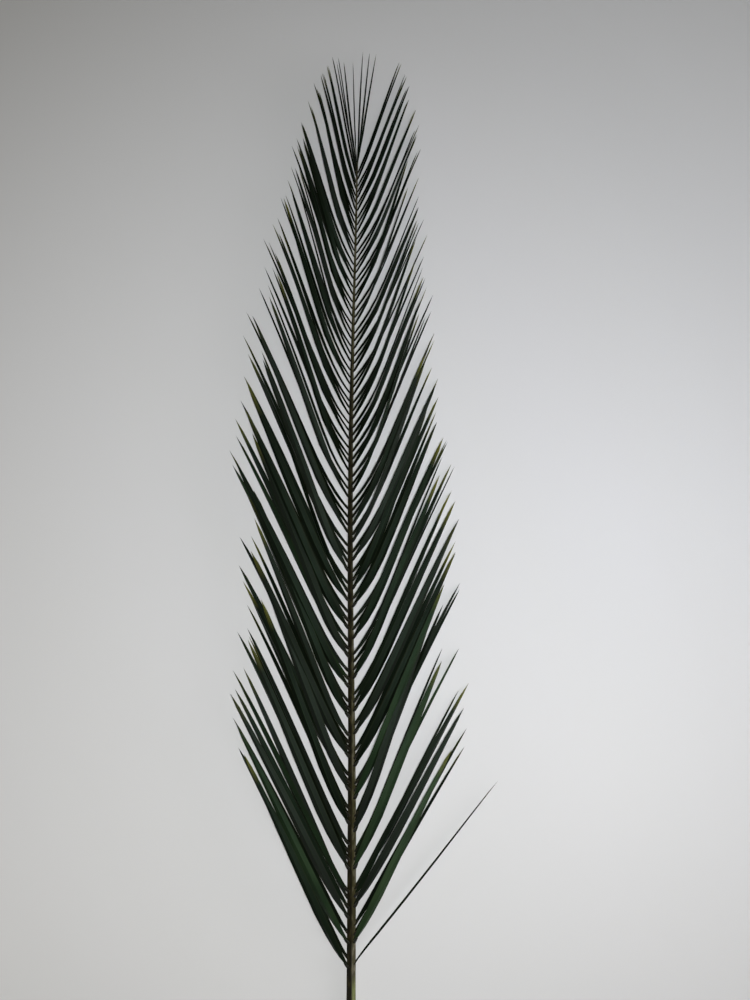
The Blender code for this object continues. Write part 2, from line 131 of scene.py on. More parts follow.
# Towards the fork every rank comes to this roll further out
TIP_ROLL = 70.0
TIP_ROLL_FROM = 0.88
TIP_ROLL_FULL = 0.96
ROLL_TURNS_FROM = 0.05
ROLL_TURNED_AT = 0.32
LOWEST_CLEAR = 0.2 * MM
HIGHEST = 40.6 * MM
# Over this height the rise is flattened to this share
FLATTENED_FROM = 34 * MM
FLATTENED_TO = 0.6

# A leaflet leaves the stem this many degrees wider than its chord, and straightens in this many mm
ROOT_SPREAD = {
    -1: ((0.06, 34.0), (0.30, 36.0), (0.45, 32.0), (0.60, 29.0), (0.80, 28.0),
         (0.92, 22.0), (1.0, 12.0)),
    1: ((0.06, 14.0), (0.15, 21.0), (0.30, 27.0), (0.50, 29.0), (0.80, 26.0),
        (0.92, 22.0), (1.0, 14.0))}
STRAIGHTEN_LENGTH = {
    -1: ((0.06, 13.0), (0.22, 14.0), (0.36, 20.0), (0.50, 28.0), (0.80, 27.0), (1.0, 18.0)),
    1: ((0.06, 14.0), (0.22, 17.0), (0.36, 22.0), (0.50, 30.0), (0.80, 34.0), (1.0, 22.0))}
OUTWARD_CURL = {-1: 3.0, 1: 2.0}
CURL_POWER = 1.5
# Slow swing of the angle along each side, in degrees, over a length of stem
SWING = {-1: 1.0, 1: 0.8}
SWING_LENGTH = {-1: 155 * MM, 1: 104 * MM}
SWING_START = {-1: 64 * MM, 1: 40 * MM}
# Neighbours stand in small groups, given as the ranks of their members going up the stem.
# Each member's root spread and angle change by these degrees for each step from the group's middle.
GROUPS = ((0, 1, 2), (0, 1, 2), (0, 1, 2, 1), (0, 2))
GROUP_ROOT_LEAN = ((0.30, 6.0), (0.50, 3.5), (0.70, 1.0))
GROUP_LEAN = 1.2
# Within a group the gap between neighbours is this share of the mean gap.
# What is left of it goes between the groups.
GROUP_CLOSE = ((0.30, 0.74), (0.50, 0.88), (0.70, 0.97))
ANGLE_JITTER = ((0.06, 3.0), (0.35, 3.0), (0.60, 2.2), (0.80, 1.5), (1.0, 0.8))
# No leaflet stands out wider than this from the mean angle
OUTWARD_LIMIT = 2.4
LENGTH_JITTER = 0.03
GAP_JITTER = 0.10
ROLL_JITTER = 8.0
OUTER_ROLL_JITTER = 12.0
TIP_HEIGHT_JITTER = 4.0
# From this place up to the fork the leaflets settle into the even fan of the tip
WANDER_FADES_FROM = 0.93
SEED = 4100

# Leaflets at the very tip: side, angle from the stem in degrees, length and width in mm
TERMINAL_LEAFLETS = ((-1, 10.5, 134.0, 3.0), (-1, 7.0, 130.0, 3.6), (-1, 2.2, 126.0, 2.4),
                     (1, 9.6, 138.0, 3.6), (1, 6.4, 136.0, 3.4), (1, 3.0, 134.0, 3.2))
TERMINAL_STEP = 1.6 * MM
TERMINAL_SPREAD = 5.0
TERMINAL_STRAIGHTEN = 20 * MM
TERMINAL_ROLL_ROOT = 74.0
TERMINAL_ROLL_OUTER = 48.0
TERMINAL_ROOT_SLOPE = (0.25, 0.10, -0.01)
TERMINAL_TIP_HEIGHTS = (6.0, 10.0, 14.0)
TERMINAL_DROOP = 0.05

# The slender leaflet that stands apart, lowest on the right
LONE_ANGLE = 38.2
LONE_LENGTH = 285 * MM
LONE_WIDTH = 5.6 * MM
LONE_ROLL = 50.0
LONE_ROOT_SLOPE = 0.08
LONE_TIP_HEIGHT = 3.0
LONE_DROOP = 0.03

# The model leaflet is one unit long and one wide. It has a ring of four corners at each of
# these shares of its length, of this share of its width and this thickness as a share of its width.
MODEL_RINGS = ((0.0, 0.28, 0.17), (0.02, 0.34, 0.16), (0.04, 0.52, 0.12), (0.07, 0.75, 0.09),
               (0.11, 0.92, 0.06), (0.18, 1.0, 0.05), (0.28, 0.99, 0.046), (0.40, 0.94, 0.042),
               (0.52, 0.89, 0.045), (0.64, 0.80, 0.05), (0.75, 0.68, 0.06), (0.85, 0.53, 0.075),
               (0.94, 0.35, 0.085))
# Each leaflet's own slow bend to the side in mm, and twist at its tip in degrees
OWN_BEND = 1.3 * MM
OWN_TWIST = 9.0
DETAIL_SEED = 5200
# Closer than this to the fold, in the model leaflet's widths, a corner lies on it
ON_FOLD = 1e-5
# A leaflet's tone is 0 for near black and 1 for fresh green. On each side it starts at the first
# value and rises by up to the second, a little more on the right. Between the places in TONE_FALLS that
# rise shrinks to TONE_SHARE_ABOVE of itself. The darker upper leaflets are painted shade, standing in
# for the edge-on leaflets of the upper frond. The greener lower and right-hand ones are painted light
# from the low light on the right. The powers make dark leaflets, and tips that kept their colour,
# common.
TONE = {-1: (0.02, 0.80), 1: (0.02, 0.86)}
TONE_FALLS = (0.25, 0.75)
TONE_SHARE_ABOVE = 0.45
TONE_POWER = 1.5
FADE_POWER = 2
# Edges that turn by less than this many degrees are smooth
LEAFLET_CREASE = 32
FOOT_CREASE = 50
STEM_CREASE = 28
CUT_CREASE = 40

# Swollen foot of a leaflet: at these lengths in mm, its half width and half thickness as shares of
# the leaflet's width
FOOT_RINGS = ((0.0, 0.09, 0.06), (0.8, 0.16, 0.12), (3.0, 0.17, 0.14), (5.0, 0.14, 0.11),
              (8.0, 0.11, 0.07))
# It starts this share of the stem's half width from its middle, raised by this share of it
FOOT_STARTS = 0.55
FOOT_CLIMB = 0.50
FOOT_SIDES = 8

Leaflet = namedtuple("Leaflet", "side rank y angle length width spread straighten curl "
                                "roll_root roll_outer slope tip_height droop")


# Curves
def smooth_value(points, place):
    """Read the smooth curve through (place, value) points, which never overshoots them."""
    if place <= points[0][0]:
        return points[0][1]
    if place >= points[-1][0]:
        return points[-1][1]
    slopes = [(b[1] - a[1]) / (b[0] - a[0]) for a, b in zip(points, points[1:])]

    def tangent(index):
        if index in (0, len(slopes)):
            return slopes[min(index, len(slopes) - 1)]
        before, after = slopes[index - 1], slopes[index]
        return 0.0 if before * after <= 0 else 2 * before * after / (before + after)

    k = 0
    while place > points[k + 1][0]:
        k += 1
    step = points[k + 1][0] - points[k][0]
    t = (place - points[k][0]) / step
    start, end = points[k][1], points[k + 1][1]
    bend = (t ** 3 - 2 * t ** 2 + t) * tangent(k) + (t ** 3 - t ** 2) * tangent(k + 1)
    return start + (end - start) * (3 * t ** 2 - 2 * t ** 3) + bend * step


def blend(low, high, value):
    """Rise smoothly from 0 at low to 1 at high."""
    t = min(max((value - low) / (high - low), 0.0), 1.0)
    return t * t * (3 - 2 * t)


def mix(start, end, share):
    return start + (end - start) * share


# Where the leaflets grow
def stem_half_width(y):
    return smooth_value(STEM_HALF_WIDTH, y / FORK_Y) * MM


def stem_middle(y):
    """Middle of the stem's section at y."""
    underside = smooth_value(STEM_UNDERSIDE, y / FORK_Y) * MM
    height = underside + STEM_UNDERSIDE_DEPTH * stem_half_width(y)
    return Vector((smooth_value(STEM_BOW, y / FORK_Y) * MM, y, height))


def ordinary_leaflet(side, rank, y, group_step, draw):
    """Choose the shape of one leaflet from its side, its rank and its place on the stem."""
    place = y / FORK_Y
    upper = blend(UPPER_STARTS, UPPER_FULL, place)
    swing = SWING[side] * math.sin(2 * math.pi * (y - SWING_START[side]) / SWING_LENGTH[side])
    jitter = smooth_value(ANGLE_JITTER, place) * draw.uniform(-1, 1)
    wander = min(swing + GROUP_LEAN * group_step + jitter, OUTWARD_LIMIT)
    wander *= 1 - blend(WANDER_FADES_FROM, 1.0, place)
    length_change = 1 + LENGTH_JITTER * draw.uniform(-1, 1)
    roll_change = ROLL_JITTER * draw.uniform(-1, 1)
    outer_change = roll_change + OUTER_ROLL_JITTER * draw.uniform(-1, 1)
    lift = TIP_HEIGHT_JITTER * draw.uniform(-1, 1) if rank < LOWEST_RANK else 0.0
    roll_root = mix(LOWER_ROLL_ROOT[side][rank], UPPER_ROLL_ROOT[side][rank], upper)
    roll_outer = mix(LOWER_ROLL_OUTER[side][rank], UPPER_ROLL_OUTER[side][rank], upper)
    near_fork = blend(TIP_ROLL_FROM, TIP_ROLL_FULL, place)
    return Leaflet(
        side=side, rank=rank, y=y,
        angle=smooth_value(CHORD_ANGLE[side], place) + wander,
        length=smooth_value(LEAFLET_LENGTH[side], place) * MM * length_change,
        width=smooth_value(LEAFLET_WIDTH[side], place) * MM,
        spread=(smooth_value(ROOT_SPREAD[side], place)
                + smooth_value(GROUP_ROOT_LEAN, place) * group_step),
        straighten=smooth_value(STRAIGHTEN_LENGTH[side], place) * MM,
        curl=OUTWARD_CURL[side],
        roll_root=roll_root + roll_change,
        roll_outer=mix(roll_outer, TIP_ROLL, near_fork) + outer_change,
        slope=RANK_ROOT_SLOPE[rank],
        tip_height=(RANK_TIP_HEIGHT[rank] + lift) * MM,
        droop=RANK_TIP_DROOP[rank])


def side_leaflets(side):
    """Set the leaflets of one side up the stem, group after group."""
    draw = random.Random(SEED + side)
    leaflets = []
    y = LOWEST_LEAFLET_Y[side]
    while y < TERMINAL_Y:
        group = draw.choice(GROUPS)
        for member, rank in enumerate(group):
            group_step = member - (len(group) - 1) / 2
            leaflets.append(ordinary_leaflet(side, rank, y, group_step, draw))
            gap = smooth_value(LEAFLET_GAP, y / FORK_Y) * MM
            close = smooth_value(GROUP_CLOSE, y / FORK_Y)
            after_group = member == len(group) - 1
            gap *= 1 + (1 - close) * (len(group) - 1) if after_group else close
            y += gap * (1 + GAP_JITTER * draw.uniform(-1, 1))
    return [leaflet for leaflet in leaflets if leaflet.y < TERMINAL_Y]


def terminal_leaflets():
    """The last leaflets, which spread from the stem's very end."""
    leaflets = []
    for number, (side, angle, length, width) in enumerate(TERMINAL_LEAFLETS):
        rank = number % len(TERMINAL_TIP_HEIGHTS)
        leaflets.append(Leaflet(
            side=side, rank=rank, y=TERMINAL_Y + TERMINAL_STEP * (number + 1),
            angle=angle, length=length * MM, width=width * MM, spread=TERMINAL_SPREAD,
            straighten=TERMINAL_STRAIGHTEN, curl=0.0,
            roll_root=TERMINAL_ROLL_ROOT, roll_outer=TERMINAL_ROLL_OUTER,
            slope=TERMINAL_ROOT_SLOPE[rank], tip_height=TERMINAL_TIP_HEIGHTS[rank] * MM,
            droop=TERMINAL_DROOP))
    return leaflets


def lone_leaflet():
    """The slender lowest leaflet on the right, straight and apart from the others."""
    return Leaflet(
        side=1, rank=1, y=LONE_LEAFLET_Y, angle=LONE_ANGLE, length=LONE_LENGTH, width=LONE_WIDTH,
        spread=0.0, straighten=TERMINAL_STRAIGHTEN, curl=0.0, roll_root=LONE_ROLL, roll_outer=LONE_ROLL,
        slope=LONE_ROOT_SLOPE, tip_height=LONE_TIP_HEIGHT * MM, droop=LONE_DROOP)


# How a leaflet runs from the stem to its tip
def plan_angle(leaflet, u):
    """Angle from the stem, seen from above, at the share u of a leaflet's length."""
    decay = leaflet.straighten / leaflet.length
    spread = math.exp(-u / decay) - decay * (1 - math.exp(-1 / decay))
    curl = u ** CURL_POWER - 1 / (CURL_POWER + 1)
    return math.radians(leaflet.angle + leaflet.spread * spread + leaflet.curl * curl)


def leaflet_heights(leaflet):
    """Four heights that steer a leaflet's rise and droop as a Bezier curve."""
    root = stem_middle(leaflet.y).z + RANK_ROOT_HEIGHT[leaflet.rank] * stem_half_width(leaflet.y)
    third = leaflet.length / 3
    after_root = root + leaflet.slope * third
    before_tip = leaflet.tip_height + leaflet.droop * third
    return root, after_root, before_tip, leaflet.tip_height


def leaflet_point(leaflet, u):
    """Point on the fold of a leaflet, u running from the middle of the stem to the tip."""
    stem = stem_middle(leaflet.y)
    step = u * leaflet.length / PLAN_STEPS
    angles = [plan_angle(leaflet, u * (number + 0.5) / PLAN_STEPS) for number in range(PLAN_STEPS)]
    x = stem.x + leaflet.side * step * sum(math.sin(angle) for angle in angles)
    y = stem.y + step * sum(math.cos(angle) for angle in angles)
    a, b, c, d = leaflet_heights(leaflet)
    v = 1 - u
    height = a * v ** 3 + 3 * b * v ** 2 * u + 3 * c * v * u ** 2 + d * u ** 3
    height -= max(0.0, height - FLATTENED_FROM) * (1 - FLATTENED_TO)
    return Vector((x, y, height))


def leaflet_axes(leaflet, u, twist):
    """Directions across the blade and up out of its fold."""
    angle = plan_angle(leaflet, u)
    a, b, c, d = leaflet_heights(leaflet)
    v = 1 - u
    rise = 3 * ((b - a) * v ** 2 + 2 * (c - b) * v * u + (d - c) * u ** 2) / leaflet.length
    along = Vector((leaflet.side * math.sin(angle), math.cos(angle), rise)).normalized()
    inward = Vector((-leaflet.side * math.cos(angle), math.sin(angle), 0.0))
    upward = inward.cross(along) * leaflet.side
    turn = blend(ROLL_TURNS_FROM, ROLL_TURNED_AT, u)
    roll = math.radians(mix(leaflet.roll_root, leaflet.roll_outer, turn) + twist * u)
    opening = upward * math.cos(roll) + inward * math.sin(roll)
    return opening.cross(along) * leaflet.side, opening


# Modelling by hand
def deselect():
    for thing in bpy.context.selected_objects:
        thing.select_set(False)


def pick_corners(test):
    """In edit mode, select only the corners that pass the test."""
    bpy.ops.mesh.select_mode(type="VERT")
    bpy.ops.mesh.select_all(action="DESELECT")
    mesh = bmesh.from_edit_mesh(bpy.context.object.data)
    for corner in mesh.verts:
        if test(corner.co):
            corner.select_set(True)
    bmesh.update_edit_mesh(bpy.context.object.data)


def finish_edit():
    """Turn all faces outwards and leave edit mode."""
    bpy.ops.mesh.select_all(action="SELECT")
    bpy.ops.mesh.normals_make_consistent(inside=False)
    bpy.ops.object.mode_set(mode="OBJECT")


def place_in_mesh(thing):
    """Move the object's place and turn into its mesh."""
    deselect()
    thing.select_set(True)
    bpy.context.view_layer.objects.active = thing
    bpy.ops.object.transform_apply(location=True, rotation=True, scale=True)


def join(things, name):
    """Join the copies to one piece. A path on the right turns a copy inside out, which is undone."""
    deselect()
    for thing in things:
        thing.select_set(True)
    bpy.context.view_layer.objects.active = things[0]
    bpy.ops.object.join()
    things[0].name = name
    things[0].data.name = name
    bpy.ops.object.mode_set(mode="EDIT")
    finish_edit()
    return things[0]


def finish_piece(piece, crease, material):
    """Smooth the edges that are less sharp than the crease, and give the piece its material."""
    deselect()
    piece.select_set(True)
    bpy.context.view_layer.objects.active = piece
    bpy.ops.object.shade_smooth_by_angle(angle=math.radians(crease))
    piece.data.materials.append(material)
    return piece


def upright_circle(sides, radius):
    """Add a filled circle that faces along the stem, and stay in edit mode with all of it selected."""
    deselect()
    bpy.ops.mesh.primitive_circle_add(vertices=sides, radius=radius, fill_type="NGON",
                                      rotation=(math.radians(90), 0, 0))
    circle = bpy.context.object
    place_in_mesh(circle)
    bpy.ops.object.mode_set(mode="EDIT")
    bpy.ops.mesh.select_all(action="SELECT")
    return circle


def push_out(distance):
    """Extrude what is selected along the stem."""
    bpy.ops.mesh.extrude_region_move(TRANSFORM_OT_translate={"value": (0, distance, 0)})


def draw_out(rings, unit):
    """Draw the selected face out through rings of a place, a width and a thickness."""
    bpy.ops.transform.resize(value=(rings[0][1], 1, rings[0][2]))
    for near, far in zip(rings, rings[1:]):
        push_out((far[0] - near[0]) * unit)
        bpy.ops.transform.resize(value=(far[1] / near[1], 1, far[2] / near[2]))


def leaflet_model():
    """A straight flat leaflet, thicker along its middle and sharp at its margins, to be copied."""
    model = upright_circle(4, 0.5)
    draw_out(MODEL_RINGS, 1)
    push_out(1 - MODEL_RINGS[-1][0])
    bpy.ops.mesh.merge(type="CENTER")
    finish_edit()
    mark_model(model)
    return model


def foot_model():
    """The swollen foot of a leaflet, drawn straight out, to be copied."""
    model = upright_circle(FOOT_SIDES, 1.0)
    draw_out(FOOT_RINGS, MM)
    finish_edit()
    return model


def copy_of(model):
    """A copy with its own mesh."""
    copy = model.copy()
    copy.data = model.data.copy()
    bpy.context.scene.collection.objects.link(copy)
    return copy


def bend_onto(thing, leaflet, bend, twist):
    """Fold a copy of the model leaflet and lay it along its own path."""
    for corner in thing.data.vertices:
        x, u, z = corner.co
        u = min(max(u, 0.0), 1.0)
        across, opening = leaflet_axes(leaflet, u, twist)
        fold = math.radians(smooth_value(FOLD_HALF_ANGLE, u))
        side_bend = across * (bend * math.sin(math.pi * u) ** 2)
        offset = across * (x * math.sin(fold)) + opening * (abs(x) * math.cos(fold) + z)
        corner.co = leaflet_point(leaflet, u) + side_bend + offset * leaflet.width


def settle(thing):
    """Keep each ring of a leaflet just clear of the floor and under the frond's greatest height."""
    rings = {}
    for corner, place in zip(thing.data.vertices, thing.data.attributes["reach"].data):
        rings.setdefault(round(place.value, 4), []).append(corner)
    for ring in rings.values():
        heights = [corner.co.z for corner in ring]
        change = max(0.0, LOWEST_CLEAR - min(heights)) - max(0.0, max(heights) - HIGHEST)
        for corner in ring:
            corner.co.z += change


def mark_model(model):
    """Note on the model how far along, how near the margin and on which face each part is."""
    mesh = model.data
    reach = mesh.attributes.new("reach", "FLOAT", "POINT")
    margin = mesh.attributes.new("margin", "FLOAT", "POINT")
    for corner in mesh.vertices:
        reach.data[corner.index].value = corner.co.y
        margin.data[corner.index].value = 1.0 if abs(corner.co.x) > ON_FOLD else 0.0
    underside = mesh.attributes.new("underside", "FLOAT", "FACE")
    for face in mesh.polygons:
        underside.data[face.index].value = 1.0 if face.normal.z < 0 else 0.0
    mesh.attributes.new("tone", "FLOAT", "POINT")
    mesh.attributes.new("fade", "FLOAT", "POINT")
    mesh.uv_layers.new(name="blade")


def mark_copy(thing, leaflet, tone, fade):
    """Give a leaflet its own tone, its faded tip and a map of its blade in millimetres."""
    mesh = thing.data
    for name, value in (("tone", tone), ("fade", fade)):
        mesh.attributes[name].data.foreach_set("value", [value] * len(mesh.vertices))
    blade = mesh.uv_layers["blade"]
    for loop in mesh.loops:
        x, y, _ = mesh.vertices[loop.vertex_index].co
        wing = 0.0 if abs(x) < ON_FOLD else math.copysign(0.5, x)
        blade.data[loop.index].uv = (wing * leaflet.width / MM, y * leaflet.length / MM)


def leaf_tone(leaflet, draw):
    """Tone from near black to fresh green: darker to the top, greener low on the right."""
    # Darker to the top is painted shade for the edge-on upper leaflets; greener low, more so on the
    # right, is painted light
    low = 1 - blend(*TONE_FALLS, leaflet.y / FORK_Y)
    darkest, span = TONE[leaflet.side]
    return darkest + span * mix(TONE_SHARE_ABOVE, 1.0, low) * draw.random() ** TONE_POWER


def leaflet_piece(model, leaflets, name, material, draw):
    """Copy the model leaflet onto each path, and join the copies."""
    copies = []
    for leaflet in leaflets:
        copy = copy_of(model)
        fade = draw.random() ** FADE_POWER
        mark_copy(copy, leaflet, leaf_tone(leaflet, draw), fade)
        bend_onto(copy, leaflet, OWN_BEND * draw.uniform(-1, 1), OWN_TWIST * draw.uniform(-1, 1))
        settle(copy)
        copies.append(copy)
    return finish_piece(join(copies, name), LEAFLET_CREASE, material)


def foot_piece(model, leaflets, material):
    """The swollen feet by which the leaflets sit on the stem's flanks."""
    feet = [leaflet_foot(model, leaflet) for leaflet in leaflets]
    return finish_piece(join(feet, "leaflet_feet"), FOOT_CREASE, material)


def leaflet_foot(model, leaflet):
    """One foot: a short swollen tube from inside the stem's flank out along the leaflet."""
    foot = copy_of(model)
    half = stem_half_width(leaflet.y)
    start = half * FOOT_STARTS / math.sin(plan_angle(leaflet, 0.0))
    for corner in foot.data.vertices:
        x, y, z = corner.co
        u = max(0.0, (start + y) / leaflet.length)
        across, opening = leaflet_axes(leaflet, u, 0.0)
        climb = Vector((0, 0, FOOT_CLIMB * half * (1 - blend(0.0, FOOT_RINGS[-1][0] * MM, y))))
        corner.co = leaflet_point(leaflet, u) + climb + (across * x + opening * z) * leaflet.width
    return foot


def stem_outline(name, half, middle):
    """A ridged outline with a flat underside, at its size and place, with all of it selected."""
    outline = upright_circle(STEM_SIDES, 1.0)
    outline.name = outline.data.name = name
    pick_corners(lambda place: place.z < LOW_CORNERS)
    bpy.ops.transform.resize(value=(UNDERSIDE_SPREAD, 1, 0),
                             center_override=(0, 0, -STEM_UNDERSIDE_DEPTH))
    pick_corners(lambda place: RIDGE_FROM < place.z < RIDGE_TO)
    bpy.ops.transform.resize(value=(1, 1, RIDGE_SHARE), center_override=(0, 0, RIDGE_FROM))
    bpy.ops.mesh.select_all(action="SELECT")
    bpy.ops.transform.resize(value=(half, half, half), center_override=(0, 0, 0))
    bpy.ops.transform.translate(value=middle)
    return outline


def stem_piece(material):
    """The stem: its outline at the cut end, drawn out ring by ring to the fork."""
    half = stem_half_width(CUT_END_Y)
    start = stem_middle(CUT_END_Y) + Vector((0, SKIN_START, 0))
    stem = stem_outline("stem", half, start)
    steps = round((FORK_Y - start.y) / STEM_RING_GAP)
    before = start
    for number in range(1, steps + 1):
        y = mix(start.y, FORK_Y, number / steps)
        middle = stem_middle(y)
        bpy.ops.mesh.extrude_region_move(TRANSFORM_OT_translate={"value": middle - before})
        ratio = stem_half_width(y) / half
        bpy.ops.transform.resize(value=(ratio, ratio, ratio), center_override=middle)
        half = stem_half_width(y)
        before = middle
    finish_edit()
    return finish_piece(stem, STEM_CREASE, material)


def cut_end_piece(material):
    """The cut face: a thin disc of bare fibres, dished where it has dried."""
    middle = stem_middle(CUT_END_Y) + Vector((0, DISC_BACK, 0))
    disc = stem_outline("cut_end", stem_half_width(CUT_END_Y) * DISC_SHARE, middle)
    push_out(-DISC_DEPTH)
    push_out(-CHAMFER)
    bpy.ops.transform.resize(value=(CHAMFER_SHARE, 1, CHAMFER_SHARE))
    bpy.ops.mesh.inset(thickness=DISH_RIM, depth=0)
    bpy.ops.transform.translate(value=(0, DISH_DEPTH, 0))
    finish_edit()
    return finish_piece(disc, CUT_CREASE, material)


# Materials
def colour(code):
    """Turn an sRGB hex colour to linear."""
    shares = [int(code[k:k + 2], 16) / 255 for k in (1, 3, 5)]
    return tuple(s / 12.92 if s <= 0.04045 else ((s + 0.055) / 1.055) ** 2.4 for s in shares) + (1.0,)


def add(tree, kind, inputs=None, stops=(), **settings):
    """Add a node with its settings. An input is a value, or a (node, output) pair to link."""
    made = tree.nodes.new(kind)
    for name, value in settings.items():
        setattr(made, name, value)
    for _ in stops[2:]:
        made.color_ramp.elements.new(1.0)
    for number, (place, code) in enumerate(stops):
        made.color_ramp.elements[number].position = place
        made.color_ramp.elements[number].color = colour(code)
    for socket, value in (inputs or {}).items():
        if isinstance(value, tuple) and isinstance(value[0], bpy.types.Node):
            tree.links.new(value[0].outputs[value[1]], made.inputs[socket])
        else:
            made.inputs[socket].default_value = value
    return made


def new_material(name):
    material = bpy.data.materials.new(name)
    material.use_nodes = True
    return material, material.node_tree, material.node_tree.nodes["Principled BSDF"]


def preserved_leaf():
    """Palm leaf, soaked in glycerine and dye and dried flat.

    It keeps its waxy skin, so it is dark and satin, from near black to fresh green, with painted shade
    on the upper leaflets, painted light on the lower ones, more on the right, a painted grey sheen on
    about a third of them, parallel veins along the blade, a paler central vein under a painted
    highlight, brownish margins and straw-coloured tips.
    """
    material, tree, shader = new_material("preserved_palm_leaf")
    tone = add(tree, "ShaderNodeAttribute", attribute_name="tone")
    reach = add(tree, "ShaderNodeAttribute", attribute_name="reach")
    margin = add(tree, "ShaderNodeAttribute", attribute_name="margin")
    fade = add(tree, "ShaderNodeAttribute", attribute_name="fade")
    underside = add(tree, "ShaderNodeAttribute", attribute_name="underside")
    blade = add(tree, "ShaderNodeUVMap", uv_map="blade")
    apart = add(tree, "ShaderNodeCombineXYZ", {"Z": (tone, "Fac")})
    # Streaks about 1 mm wide and 30 mm long; the tone sets each leaflet's own part of the pattern
    fine = add(tree, "ShaderNodeVectorMath", {0: (blade, "UV"), 1: (1.0, 0.033, 1.0)},
               operation="MULTIPLY")
    fine_place = add(tree, "ShaderNodeVectorMath",
                     {0: (apart, "Vector"), 1: (0, 0, 90.0), 2: (fine, "Vector")},
                     operation="MULTIPLY_ADD")
    streaks = add(tree, "ShaderNodeTexNoise",
                  {"Vector": (fine_place, "Vector"), "Scale": 1.0, "Detail": 3.0})
    # Broad patches about 60 mm long, where dye has taken more or less
    broad = add(tree, "ShaderNodeVectorMath", {0: (blade, "UV"), 1: (0.08, 0.016, 1.0)},
                operation="MULTIPLY")
    broad_place = add(tree, "ShaderNodeVectorMath",
                      {0: (apart, "Vector"), 1: (0, 0, 55.0), 2: (broad, "Vector")},
                      operation="MULTIPLY_ADD")
    patches = add(tree, "ShaderNodeTexNoise",
                  {"Vector": (broad_place, "Vector"), "Scale": 1.0, "Detail": 2.0})
    shift = add(tree, "ShaderNodeMath", {0: (patches, "Fac"), 1: 0.5, 2: (tone, "Fac")},
                operation="MULTIPLY_ADD")
    level = add(tree, "ShaderNodeMath", {0: (shift, "Value"), 1: 0.25}, operation="SUBTRACT")
    # The ramp reads each leaflet's tone, and with it the painted shade of the upper leaflets and the
    # painted light of the lower ones
    dye = add(tree, "ShaderNodeValToRGB", {"Fac": (level, "Value")},
              stops=((0.0, "#030402"), (0.3, "#070b07"), (0.5, "#0e160e"), (0.72, "#1d2d1b"),
                     (1.0, "#36482e")))
    # About a third of the leaflets are mixed towards grey: a painted sheen, for the grey glint of their
    # waxy skin
    own = add(tree, "ShaderNodeTexNoise", {"W": (tone, "Fac"), "Scale": 400.0, "Detail": 0.0},
              noise_dimensions="1D")
    painted_sheen = add(tree, "ShaderNodeMapRange",
                   {"Value": (own, "Fac"), "From Min": 0.52, "From Max": 0.62, "To Max": 0.7})
    sheened = add(tree, "ShaderNodeMix", {"Factor": (painted_sheen, "Result"), 6: (dye, "Color"),
                                         7: colour("#232523")}, data_type="RGBA")
    streak_level = add(tree, "ShaderNodeMapRange",
                       {"Value": (streaks, "Fac"), "From Min": 0.35, "From Max": 0.7, "To Max": 0.25})
    streaked = add(tree, "ShaderNodeMix", {"Factor": (streak_level, "Result"), 6: (sheened, 2),
                                           7: colour("#18220f")}, data_type="RGBA")
    # Paler along the fold: the central vein's own colour, with a painted highlight along it
    midrib_and_highlight = add(tree, "ShaderNodeMapRange",
                 {"Value": (margin, "Fac"), "From Min": 0.14, "From Max": 0.04, "To Max": 0.38})
    ribbed = add(tree, "ShaderNodeMix", {"Factor": (midrib_and_highlight, "Result"), 6: (streaked, 2),
                                         7: colour("#1f2c16")}, data_type="RGBA")
    edge = add(tree, "ShaderNodeMapRange",
               {"Value": (margin, "Fac"), "From Min": 0.84, "From Max": 1.0, "To Max": 0.45})
    edged = add(tree, "ShaderNodeMix", {"Factor": (edge, "Result"), 6: (ribbed, 2),
                                        7: colour("#2b2d12")}, data_type="RGBA")
    pale = add(tree, "ShaderNodeMath", {0: (underside, "Fac"), 1: 0.25}, operation="MULTIPLY")
    backed = add(tree, "ShaderNodeMix", {"Factor": (pale, "Value"), 6: (edged, 2),
                                         7: colour("#121911")}, data_type="RGBA")
    root = add(tree, "ShaderNodeMapRange",
               {"Value": (reach, "Fac"), "From Min": 0.07, "From Max": 0.02, "To Max": 0.6})
    rooted = add(tree, "ShaderNodeMix", {"Factor": (root, "Result"), 6: (backed, 2),
                                         7: colour("#15130a")}, data_type="RGBA")
    tip = add(tree, "ShaderNodeMapRange", {"Value": (reach, "Fac"), "From Min": 0.86, "From Max": 0.99})
    tip_fade = add(tree, "ShaderNodeMath", {0: (tip, "Result"), 1: (fade, "Fac")}, operation="MULTIPLY")
    tipped = add(tree, "ShaderNodeMix", {"Factor": (tip_fade, "Value"), 6: (rooted, 2),
                                         7: colour("#6b6a2c")}, data_type="RGBA")
    tree.links.new(tipped.outputs[2], shader.inputs["Base Color"])
    gloss = add(tree, "ShaderNodeMapRange",
                {"Value": (streaks, "Fac"), "From Min": 0.3, "From Max": 0.7,
                 "To Min": 0.42, "To Max": 0.58})
    tree.links.new(gloss.outputs["Result"], shader.inputs["Roughness"])
    # Real veins are 0.4 mm apart; they are drawn 1 mm apart to show
    veins = add(tree, "ShaderNodeTexWave", {"Vector": (blade, "UV"), "Scale": 0.314, "Distortion": 0.4},
                wave_type="BANDS", bands_direction="X")
    relief = add(tree, "ShaderNodeMath", {0: (streaks, "Fac"), 1: 0.6, 2: (veins, "Fac")},
                 operation="MULTIPLY_ADD")
    bump = add(tree, "ShaderNodeBump",
               {"Height": (relief, "Value"), "Strength": 0.35, "Distance": 0.12 * MM})
    tree.links.new(bump.outputs["Normal"], shader.inputs["Normal"])
    shader.inputs["Specular IOR Level"].default_value = 0.08
    shader.inputs["Specular Tint"].default_value = colour("#c8f0d2")
    return material


